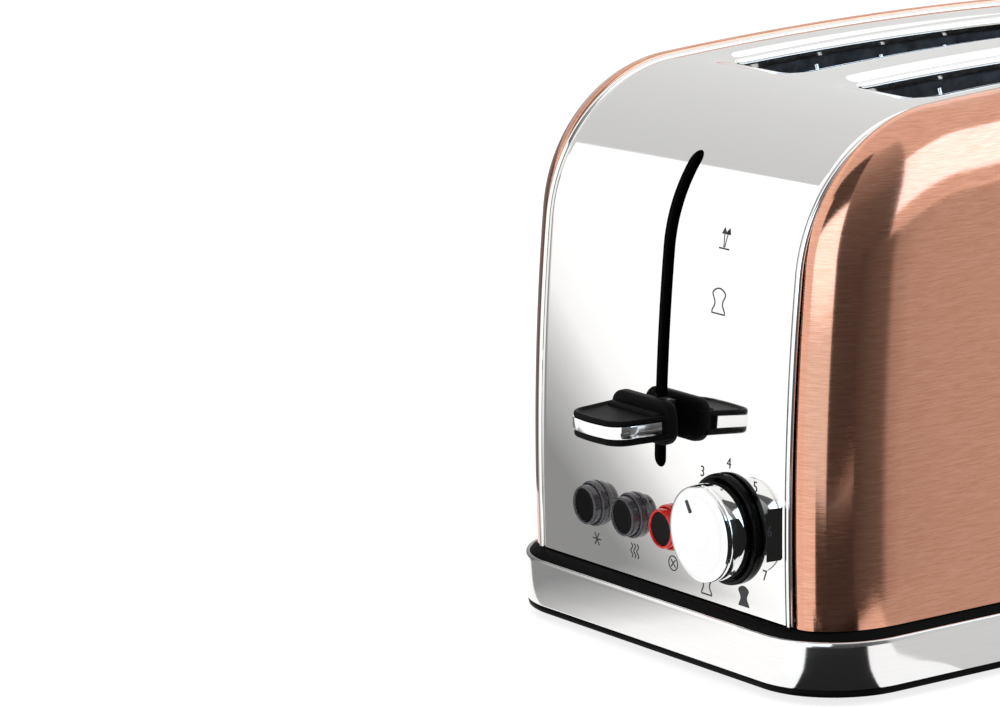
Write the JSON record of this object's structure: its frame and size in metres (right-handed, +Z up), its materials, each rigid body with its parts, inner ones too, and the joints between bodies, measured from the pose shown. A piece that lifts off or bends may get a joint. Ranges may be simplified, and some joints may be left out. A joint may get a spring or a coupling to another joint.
{
  "type": "pop up toaster",
  "caption": "Pop up toaster with a polished wrap, copper side panels, an end lever, a browning dial, push buttons and a crumb tray.",
  "frame": {"origin": "centre of the footprint, lever included, on the plane of the feet", "axes": "+Z up, the control end with the lever faces -X, the two long sides face -Y and +Y"},
  "size_m": [0.3342, 0.19, 0.1933],
  "materials": {
    "polished_chrome": "mirror-polished stainless sheet",
    "brushed_copper": "copper-coloured brushed sheet",
    "brushed_steel": "brushed stainless band",
    "black_abs": "moulded, fine sheen",
    "gloss_black": "glossy moulded",
    "chrome_trim": "plated plastic",
    "smoky_plastic": "translucent smoky",
    "red_plastic": "translucent red",
    "rubber": "moulded",
    "zinc_steel": "zinc-plated sheet",
    "bright_aluminised": "aluminised sheet",
    "dark_steel": "heat-darkened sheet",
    "mica": "pressed mica board",
    "nichrome": "oxidised ribbon",
    "wire_chrome": "plated wire",
    "circuit_green": "coated board",
    "magnet_copper": "enamelled winding",
    "bakelite": "moulded"
  },
  "bodies": {
    "housing": {"wrap_shell": "polished_chrome", "side_panel_near": "brushed_copper", "side_panel_far": "brushed_copper", "lever_guide_strip": "black_abs", "base_frame": "black_abs", "base_band": "brushed_steel", "bottom_plate": "zinc_steel", "rubber_feet": "rubber", "base_screws": "zinc_steel", "front_frame": "zinc_steel", "rear_frame": "zinc_steel", "frame_screws": "zinc_steel", "centre_reflector": "bright_aluminised", "reflector_near": "bright_aluminised", "reflector_far": "bright_aluminised", "heater_boards": "mica", "heating_wires": "nichrome", "slot_liner_near": "dark_steel", "slot_liner_far": "dark_steel", "guide_rod": "wire_chrome", "rod_bracket": "zinc_steel", "lift_spring": "zinc_steel", "electromagnet": "magnet_copper", "control_board": "circuit_green", "tact_switches": "gloss_black", "potentiometer": "zinc_steel", "dial_bezel": "gloss_black", "defrost_collar": "smoky_plastic", "reheat_collar": "smoky_plastic", "cancel_collar": "red_plastic", "cord_gland": "rubber", "terminal_block": "bakelite"},
    "carriage": {"carriage_bracket": "zinc_steel", "armature_plate": "zinc_steel", "lever_stem": "zinc_steel", "lever_paddle": "black_abs", "lever_trim": "chrome_trim", "bread_rack_near": "zinc_steel", "bread_rack_far": "zinc_steel"},
    "guide_near_outer": {"bread_guide_near_outer": "wire_chrome"},
    "guide_near_inner": {"bread_guide_near_inner": "wire_chrome"},
    "guide_far_outer": {"bread_guide_far_outer": "wire_chrome"},
    "guide_far_inner": {"bread_guide_far_inner": "wire_chrome"},
    "dial": {"dial_knob": "chrome_trim", "dial_shaft": "zinc_steel", "dial_pointer": "black_abs"},
    "defrost_button": {"defrost_cap": "gloss_black", "defrost_ring": "smoky_plastic"},
    "reheat_button": {"reheat_cap": "gloss_black", "reheat_ring": "smoky_plastic"},
    "cancel_button": {"cancel_cap": "gloss_black", "cancel_ring": "red_plastic"},
    "tray": {"crumb_tray": "bright_aluminised", "crumb_tray_handle": "black_abs"}
  },
  "joints": [
    {"name": "lever_slide", "type": "slide", "parent": "housing", "child": "carriage", "axis": [0, 0, 1], "range_m": [0, 0.075], "deforming": ["lift_spring"]},
    {"name": "guide_near_outer_hinge", "type": "hinge", "parent": "housing", "child": "guide_near_outer", "pos_m": [0.01123, -0.04675, 0.044], "axis": [1, 0, 0], "range_deg": [0, 1.25]},
    {"name": "guide_near_inner_hinge", "type": "hinge", "parent": "housing", "child": "guide_near_inner", "pos_m": [0.01123, -0.02175, 0.044], "axis": [-1, 0, 0], "range_deg": [0, 1.25]},
    {"name": "guide_far_outer_hinge", "type": "hinge", "parent": "housing", "child": "guide_far_outer", "pos_m": [0.01123, 0.04675, 0.044], "axis": [-1, 0, 0], "range_deg": [0, 1.25]},
    {"name": "guide_far_inner_hinge", "type": "hinge", "parent": "housing", "child": "guide_far_inner", "pos_m": [0.01123, 0.02175, 0.044], "axis": [1, 0, 0], "range_deg": [0, 1.25]},
    {"name": "dial_turn", "type": "hinge", "parent": "housing", "child": "dial", "pos_m": [-0.13878, -0.0382, 0.0513], "axis": [1, 0, 0], "range_deg": [-91, 149]},
    {"name": "defrost_press", "type": "slide", "parent": "housing", "child": "defrost_button", "axis": [1, 0, 0], "range_m": [0, 0.0018], "stiffness_N_per_m": 400, "springref_m": -0.0006},
    {"name": "reheat_press", "type": "slide", "parent": "housing", "child": "reheat_button", "axis": [1, 0, 0], "range_m": [0, 0.0018], "stiffness_N_per_m": 400, "springref_m": -0.0006},
    {"name": "cancel_press", "type": "slide", "parent": "housing", "child": "cancel_button", "axis": [1, 0, 0], "range_m": [0, 0.0018], "stiffness_N_per_m": 400, "springref_m": -0.0006},
    {"name": "tray_slide", "type": "slide", "parent": "housing", "child": "tray", "axis": [1, 0, 0], "range_m": [0, 0.16]}
  ],
  "couplings": [
    {"joint": "guide_near_outer_hinge", "follows": "lever_slide", "rad_per_m": 0.27925},
    {"joint": "guide_near_inner_hinge", "follows": "lever_slide", "rad_per_m": 0.27925},
    {"joint": "guide_far_outer_hinge", "follows": "lever_slide", "rad_per_m": 0.27925},
    {"joint": "guide_far_inner_hinge", "follows": "lever_slide", "rad_per_m": 0.27925}
  ]
}
